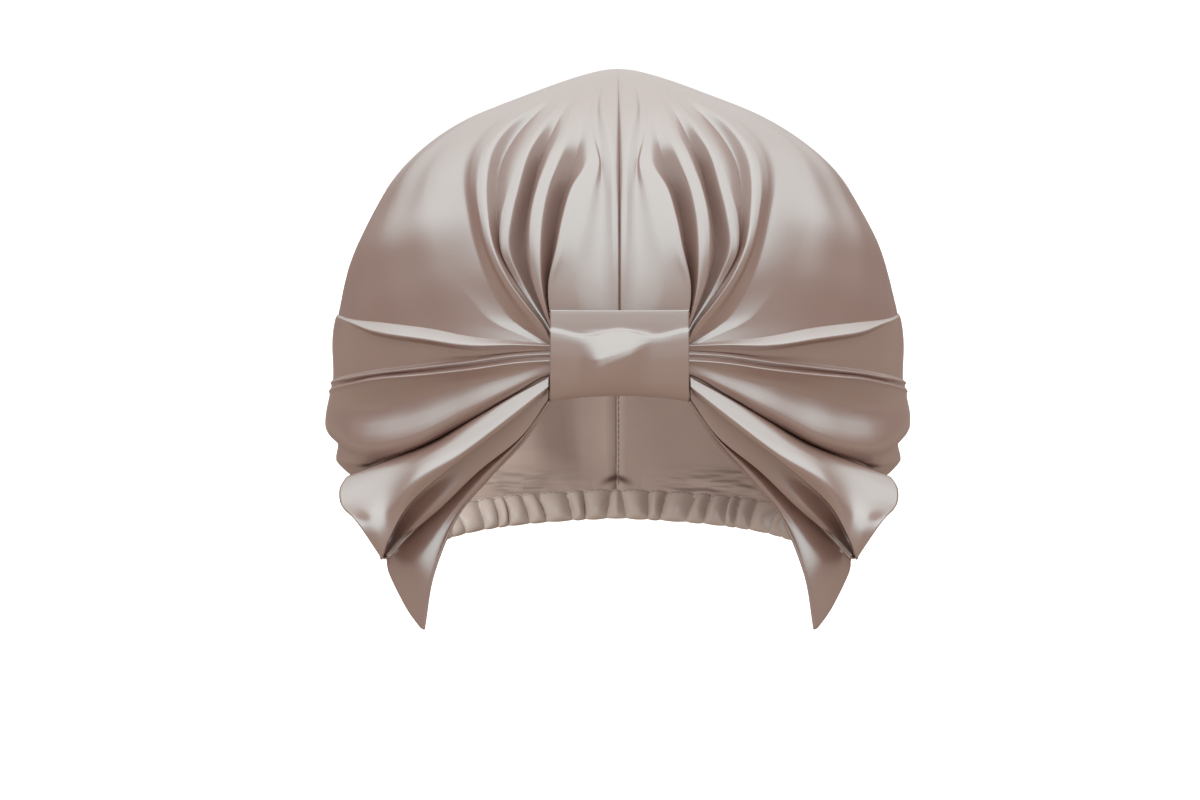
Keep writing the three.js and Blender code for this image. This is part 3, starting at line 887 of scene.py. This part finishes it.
def side_part(phase, slack, columns):
    """The rows below it, which follow the side pleats down to the gathered hem."""
    foot = read_between(column_tables(np.array([FOLD_HEIGHTS[0]]))[0], columns)[:, 0]
    rows = list(PLEATS.values())[::-1]
    heights, lifts = (np.array(part) for part in zip(*(around(row, foot) for row in rows)))
    at = spread([PLEAT_STEPS] * (len(rows) - 1))
    crisp = [row["crisp"] for row in rows]
    height = read_between(heights, at, crisp)
    hem = np.clip(1 - (height - height[:1]) / GATHER_FADE, 0, 1) ** 2
    behind = np.clip((foot - HEM_START) / GATHER_EASE, 0, 1)
    lift = read_between(lifts, at, crisp)
    lift = lift - GATHER_MM * hem * behind * (1 - gather(foot + 0 * height))
    lift = lift + ripple(foot[None, :], height, phase)
    lift = lift + slack * nape_slack(foot[None, :], height)
    return lifted_point(foot[None, :], height, lift).transpose(1, 0, 2)


def panel_points(phase, slack):
    """Places of one half's grid, hem to apex, from the seam's front end round to the nape."""
    roots = np.linspace(depth_root(FOLD_HEIGHTS[0]), 0, CROWN_ROWS + 1)[1:]
    levels = TOP * (1 - roots**2)
    azimuths, lifts, crisp = column_tables(levels)
    creased = len(azimuths) - len(PLAIN_AZIMUTHS)
    columns = spread([FOLD_STEPS] * creased + [PLAIN_STEPS] * (len(PLAIN_AZIMUTHS) - 1), BUNCHED)
    crown = crown_part(phase, columns, azimuths, lifts, crisp, levels)
    return np.concatenate([side_part(phase, slack, columns), crown], axis=1)


for hand in ("right", "left"):
    panel_shape = panel_points(PHASES[hand], SLACKS[hand])
    panel = grid_sheet(f"satin_panel_{hand}", panel_shape, [SATIN, REVERSE], mirror=hand == "left")
    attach(panel, "root")
    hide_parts(f"panel_{hand}")
    print(panel.name, len(panel.data.polygons), "faces")

# %% [markdown]
# ## The hanging ends
# Each pleated end leaves the knot as a tight bundle, opens like a fan over the temple and hangs
# free below the rim. It could be a flat sheet creased by shape keys or by simulation, but three
# pleats with crisp edges are surer as a loft: every pleat edge and hollow is a curve of six
# places from the knot to the free edge, and the cloth passes through them in order.

# %% Tables of the flaps
# Forward, in millimetres, is how far a place hangs off the head towards the front.
FLAP_LINES = {
    "tucked_top": {
        "azimuth": [13.3, 21, 29.3, 38.7, 51.9, 73.5],
        "height": [84.4, 75, 65, 54.9, 46, 37.5],
        "lift": [1, -0.5, -1, -1, 0, 5],
        "forward": [0, 0, 0, 0, 0, 6],
        "crisp": 0.0,
    },
    "top_roll": {
        "azimuth": [13.1, 20.4, 28.1, 36.7, 48.1, 67.7],
        "height": [83.9, 75.3, 65.6, 55.8, 48.3, 40.3],
        "lift": [3, 3, 4, 4.6, 5.6, 8],
        "forward": [0, 0, 0, 0.5, 2, 20],
        "crisp": 0.5,
    },
    "top_ridge": {
        "azimuth": [13, 20.2, 28.4, 37.5, 50, 70.4],
        "height": [82.9, 73.9, 63.5, 54, 44.6, 37.2],
        "lift": [3.6, 4.4, 5.6, 6.4, 7, 9.5],
        "forward": [0, 0, 1.8, 4.5, 11, 34],
        "crisp": 0.0,
    },
    "top_middle": {
        "azimuth": [13, 20, 28.6, 38.4, 51.4, 71.5],
        "height": [81.9, 71.8, 60.4, 51.2, 38.8, 32.1],
        "lift": [4.2, 5.8, 7.6, 8.4, 8.6, 10],
        "forward": [0, 0.7, 4, 10, 21, 46],
        "crisp": 0.0,
    },
    "top_low": {
        "azimuth": [12.9, 19.8, 29.1, 40, 53, 63.3],
        "height": [80.8, 69.4, 55.7, 45, 30.8, 29.3],
        "lift": [4.8, 7.4, 10, 11, 10.4, 10.5],
        "forward": [0, 1.6, 8, 19, 34, 55],
        "crisp": 0.0,
    },
    "top_edge": {
        "azimuth": [12.9, 19.9, 30.8, 43.3, 54.3, 64],
        "height": [80.1, 67.1, 51, 35.8, 22.7, 13.3],
        "lift": [4.4, 6.8, 9.4, 10.6, 10.6, 11],
        "forward": [0, 2.3, 10.5, 24, 41, 56.5],
        "crisp": 1.0,
    },
    "top_under": {
        "azimuth": [13.1, 20.1, 31.5, 45, 58.2, 65.7],
        "height": [80.2, 66.8, 49.7, 33.5, 19.8, 12.6],
        "lift": [2.6, 4, 6, 7.4, 8.2, 9.8],
        "forward": [0, 0.9, 6.4, 16.5, 33.5, 54],
        "crisp": 0.3,
    },
    "middle": {
        "azimuth": [13.1, 19.8, 29.8, 41.9, 56.6, 63.6],
        "height": [78.1, 61.9, 45.4, 30.2, 18.4, 13.3],
        "lift": [3, 3.6, 5.4, 7, 8, 10.2],
        "forward": [0, 0.8, 6.5, 19, 35, 53],
        "crisp": 0.0,
    },
    "middle_edge": {
        "azimuth": [13.1, 18.3, 27.6, 38.5, 51.5, 60.7],
        "height": [75.6, 59.9, 45.7, 30.9, 20.4, 14.5],
        "lift": [3.2, 3.8, 5.2, 7, 8.6, 10.6],
        "forward": [0, 0.8, 5, 15, 30, 52.5],
        "crisp": 1.0,
    },
    "middle_under": {
        "azimuth": [13.2, 18.7, 28.5, 40.4, 55.5, 65.2],
        "height": [75.6, 59.7, 44.8, 29.7, 18, 11.9],
        "lift": [1.8, 2, 2.6, 3.6, 5.2, 9],
        "forward": [0, 0, 2.6, 13, 30, 48.5],
        "crisp": 0.3,
    },
    "lowest": {
        "azimuth": [13.1, 18.5, 27.9, 39.4, 56.1, 71.5],
        "height": [75.1, 59, 42.1, 25.2, 9.6, 4.3],
        "lift": [3, 2.6, 3.6, 5, 7.2, 9.8],
        "forward": [0, 1.2, 5.2, 17, 40.5, 53],
        "crisp": 0.0,
    },
    "lowest_middle": {
        "azimuth": [13.1, 18.3, 26.5, 37, 52.5, 67.8],
        "height": [75, 58.8, 42.4, 26.1, 4.8, -10.3],
        "lift": [3.6, 3.4, 4.8, 6.6, 9.2, 10.8],
        "forward": [0, 0.4, 3.5, 13.8, 40.1, 57.9],
        "crisp": 0.0,
    },
    "hem_groove": {
        "azimuth": [13.1, 18.2, 26.1, 36, 50.2, 63.2],
        "height": [74.6, 58.4, 42.6, 27.1, 5.1, -17.9],
        "lift": [2.9, 2.7, 4, 6, 8.8, 10.6],
        "forward": [0, 1.4, 4.3, 13.1, 38.6, 59],
        "crisp": 0.4,
    },
    "hem_edge": {
        "azimuth": [13.1, 17.9, 25.3, 34.8, 48.3, 60.9],
        "height": [74.5, 58.4, 43.6, 28.1, 6.1, -18.7],
        "lift": [3.2, 3.5, 5, 7, 9.8, 11],
        "forward": [0, 1.1, 3, 11.5, 36.1, 57.6],
        "crisp": 0.0,
    },
}
print(len(FLAP_LINES), "flap lines")

# %% Shape the flaps
FLAP_STEPS = [3, 6, 6, 6, 6, 4, 6, 6, 4, 5, 6, 5, 4]
FLAP_ROWS = 120


def flap_points():
    """Places of one end's grid, from its lowest edge up to the tucked one, knot to tip."""
    lines = list(FLAP_LINES.values())
    azimuth, height, lift, forward = (
        np.array([line[key] for line in lines], float)
        for key in ("azimuth", "height", "lift", "forward")
    )
    stations = lifted_point(azimuth, height, lift)
    stations[..., 1] -= forward
    along = np.linspace(0, stations.shape[1] - 1, FLAP_ROWS)
    curves = read_between(stations.transpose(1, 0, 2), along, level_crests=False)
    across = spread(FLAP_STEPS, BUNCHED)
    crisp = [line["crisp"] for line in lines]
    shape = read_between(curves.transpose(1, 0, 2), across, crisp, level_crests=False)
    return shape[::-1].transpose(1, 0, 2)


flap_shape = flap_points()
for hand in ("right", "left"):
    flap = grid_sheet(f"satin_flap_{hand}", flap_shape, [SATIN, REVERSE], mirror=hand == "left")
    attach(flap, "root")
    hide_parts(f"flap_{hand}")
    print(flap.name, len(flap.data.polygons), "faces")

# %% [markdown]
# ## The knot strip
# A doubled strip is folded round the gathers: down the front, under the lower edge and up
# inside. A bevelled box would give its outline but no cloth, so the strip's path in section is a
# table, swept across the forehead along the form. The lower edge is pulled up in the middle, and a
# slack patch under the top edge turns up to the light.

# %% Shape the knot strip
# The path is heights and lifts in millimetres, down the front, round the foot and up inside. The
# arch and the dip say how far each of its points shares in two bends of the strip. The patch is
# a triangle under the top edge, taller towards -X.
knot_low, knot_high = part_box("knot_band")
KNOT_HALF = knot_high.x / MM
KNOT_TOP, KNOT_BOTTOM = knot_high.z / MM, knot_low.z / MM
BAND_PATH = [
    (KNOT_TOP - 2, 2.8),
    (KNOT_TOP - 0.2, 4.2),
    (KNOT_TOP - 0.2, 5.8),
    (KNOT_TOP - 4, 6),
    (KNOT_TOP - 7.4, 6.1),
    (KNOT_TOP - 9.1, 7.1),
    (KNOT_TOP - 13, 7.3),
    (KNOT_TOP - 18, 7.3),
    (88, 7.1),
    (81, 6.8),
    (KNOT_BOTTOM + 1.6, 6),
    (KNOT_BOTTOM, 4.2),
    (KNOT_BOTTOM, -2),
    (KNOT_BOTTOM + 4, -4.4),
    (90, -4.6),
    (101, -4.6),
]
BAND_ARCH = [0, 0, 0, 0, 0, 0, 0, 0, 0.1, 0.4, 1, 1, 1, 0.6, 0, 0]
BAND_DIP = [0, 0, 0, 0.3, 1, 1, 0.5, 0.2, 0, 0, 0, 0, 0, 0, 0, 0]
ARCH_MM = 2.6
DIP_MM = 2.4
PATCH_TOP = 8
PATCH_MM = 9
PATCH_LEAST_MM = 3
PATCH_SLOPE = 0.37
PATCH_SHAPE = ([0, 0.15, 1, 1.3, 1.8, 4.5], [0, 0.05, 1, 1.1, 1, 0.1])
PATCH_CENTRE = -0.05
PATCH_HALF = 0.58
PATCH_EDGE = 0.4
FRONT_LIFT = 5
BAND_STEPS = 8
BAND_COLUMNS = 91
STRIP_MM = 1.2


def smooth(share):
    """A share eased in and out."""
    share = np.clip(share, 0, 1)
    return share**2 * (3 - 2 * share)


def band_points():
    """Places of the strip's grid; place runs from -1 to 1 across it."""
    lines = spread([BAND_STEPS] * (len(BAND_PATH) - 1))
    path = read_between(np.array(BAND_PATH, float), lines)
    arch, dip = (read_between(np.array(k, float), lines) for k in (BAND_ARCH, BAND_DIP))
    place = np.linspace(-1, 1, BAND_COLUMNS)[:, None]
    height = path[None, :, 0] + ARCH_MM * arch * (1 - place**2)
    height = height - DIP_MM * dip * np.sin(math.pi * place) ** 2
    patch_mm = PATCH_MM - PATCH_MM * place
    down = (KNOT_TOP - PATCH_TOP - height) / np.maximum(patch_mm, PATCH_LEAST_MM)
    inside = smooth((PATCH_HALF - np.abs(place - PATCH_CENTRE)) / PATCH_EDGE)
    bulge = PATCH_SLOPE * patch_mm * np.interp(down, *PATCH_SHAPE) * inside
    lift = path[None, :, 1] + bulge * (path[None, :, 1] > FRONT_LIFT)
    across = place * KNOT_HALF + 0 * height
    roots = depth_root(SECTIONS["height"])
    side = read_table(roots, SECTIONS["side"], depth_root(height))
    front = read_table(roots, SECTIONS["front"], depth_root(height))
    depth = front * np.sqrt(1 - (across / side) ** 2)
    return np.stack([across, -depth - lift, height], axis=-1)


band = grid_sheet("knot_strip", band_points()[:, ::-1], [SATIN, REVERSE], wall_mm=STRIP_MM)
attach(band, "root")
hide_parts("knot_band")
print(band.name, len(band.data.polygons), "faces")

# %% [markdown]
# ## The nape casing
# The hem is turned in over elastic, which gathers it into a row of small cushions with creases
# between them. An array of one pucker would look knitted, so the gaps between the creases vary,
# and the creases lean a little. The tube is a grid bent round in a ring: satin outside, and
# inside, where it faces the light, the reverse in a paler copy whose colour is painted light.

# %% Shape the casing
# The tube hangs from a line that overlaps the panel's edge. In section it is an oval, a crease's
# depth to each side, and a puff's more between the creases.
HEM_HEIGHT = 12.8
HEM_OVERLAP = 2.6
PUFF_MM = 4.2
PUFF_POWER = 1.5
CREASE_MM = 0.3
CREASE_LEAN = 0.9
LEAN_TURN = 6
PUFF_RISE = 0.5
CASING_IN = 0.75
END_EASE = 4
END_SHARE = 0.1
CASING_COLUMNS = 760
TUBE_POINTS = 25
CASING_MM = 0.5
OUTSIDE_SATIN = 2


def casing_points(turns, ring):
    """Places on the casing, at turns round the head and at an angle round its own tube."""
    azimuth = np.where(turns <= 180, turns, 360 - turns)
    edge = around(PLEATS["edge"], azimuth)[0]
    puff = gather(azimuth + CREASE_LEAN * np.cos(ring) * np.sin(azimuth / LEAN_TURN))
    from_end = 180 - HEM_START - np.abs(turns - 180)
    closing = smooth(from_end / END_EASE + END_SHARE)
    out = np.sin(ring) * (CREASE_MM + PUFF_MM * puff**PUFF_POWER) * closing
    height = edge + HEM_OVERLAP + HEM_HEIGHT / 2 * (np.cos(ring) - 1)
    height = height + PUFF_RISE * puff * np.cos(ring)
    points = head_point(azimuth + 0 * height, height)
    points = points + head_normal(azimuth + 0 * height, height) * (out - CASING_IN)[..., None]
    points[..., 0] *= np.where(turns <= 180, 1, -1)
    return points


casing_turns = np.linspace(HEM_START, 360 - HEM_START, CASING_COLUMNS)[:, None]
casing_shape = casing_points(casing_turns, np.linspace(0, 2 * math.pi, TUBE_POINTS)[None, :])
# Faces turned towards the head take the paler copy of the reverse, painted light; faces turned away
# take the satin.
casing_finishes = [PAINTED_LIGHT_REVERSE, REVERSE, SATIN]
casing = grid_sheet("hem_casing", casing_shape[:, ::-1], casing_finishes, wall_mm=CASING_MM)
for face in casing.data.polygons:
    if face.normal.x * face.center.x + face.normal.y * face.center.y > 0:
        face.material_index = OUTSIDE_SATIN
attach(casing, "root")
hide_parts("nape_casing")
print(casing.name, len(casing.data.polygons), "faces")

# %% [markdown]
# ## The stitching
# Spun polyester thread closes the nape seam and holds down the top edge of the casing. A bump
# could draw it, but real stitches stand off the cloth. Each is a short six-sided rod, because
# rows of them are seen only as dashes.

# %% Lay the stitches
STITCH_MM = 2.0
STITCH_PITCH = 2.9
THREAD_RADIUS = 0.22
THREAD_SIDES = 6
SEAM_STITCH_SIDE = 0.9
SEAM_STITCH_LIFT = 0.15
SEAM_STITCH_ENDS = (12, 2)
SEAM_POINTS = 60
CASING_STITCH_ANGLE = -0.62


def stitch_row(name, path):
    """Short threads along a path of points in millimetres."""
    bm = bmesh.new()
    run = np.concatenate([[0], np.cumsum(np.linalg.norm(np.diff(path, axis=0), axis=1))])
    for start in np.arange(0, run[-1] - STITCH_MM, STITCH_PITCH):
        ends = [
            Vector([np.interp(at, run, path[:, k]) * MM for k in range(3)])
            for at in (start, start + STITCH_MM)
        ]
        turn = (ends[1] - ends[0]).to_track_quat("Z", "Y").to_matrix().to_4x4()
        bmesh.ops.create_cone(
            bm,
            cap_ends=True,
            segments=THREAD_SIDES,
            radius1=THREAD_RADIUS * MM,
            radius2=THREAD_RADIUS * MM,
            depth=STITCH_MM * MM,
            matrix=Matrix.Translation((ends[0] + ends[1]) / 2) @ turn,
        )
    mesh = bpy.data.meshes.new(name)
    bm.to_mesh(mesh)
    bm.free()
    mesh.materials.append(THREAD)
    row = link_object(name, mesh)
    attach(row, "root")
    print(name, len(mesh.polygons), "faces")


seam_top = KNOT_BOTTOM + SEAM_STITCH_ENDS[0]
seam_foot = HEM_HEIGHT + SEAM_STITCH_ENDS[1]
seam_heights = np.linspace(seam_top, seam_foot, SEAM_POINTS)
seam_path = lifted_point(180, seam_heights, -CLOTH_MM - SEAM_STITCH_LIFT)
seam_path[:, 0] = SEAM_STITCH_SIDE
stitch_row("nape_seam_stitches", seam_path)
casing_row = casing_points(casing_turns, np.array([[CASING_STITCH_ANGLE]]))[:, 0]
stitch_row("casing_stitches", casing_row)
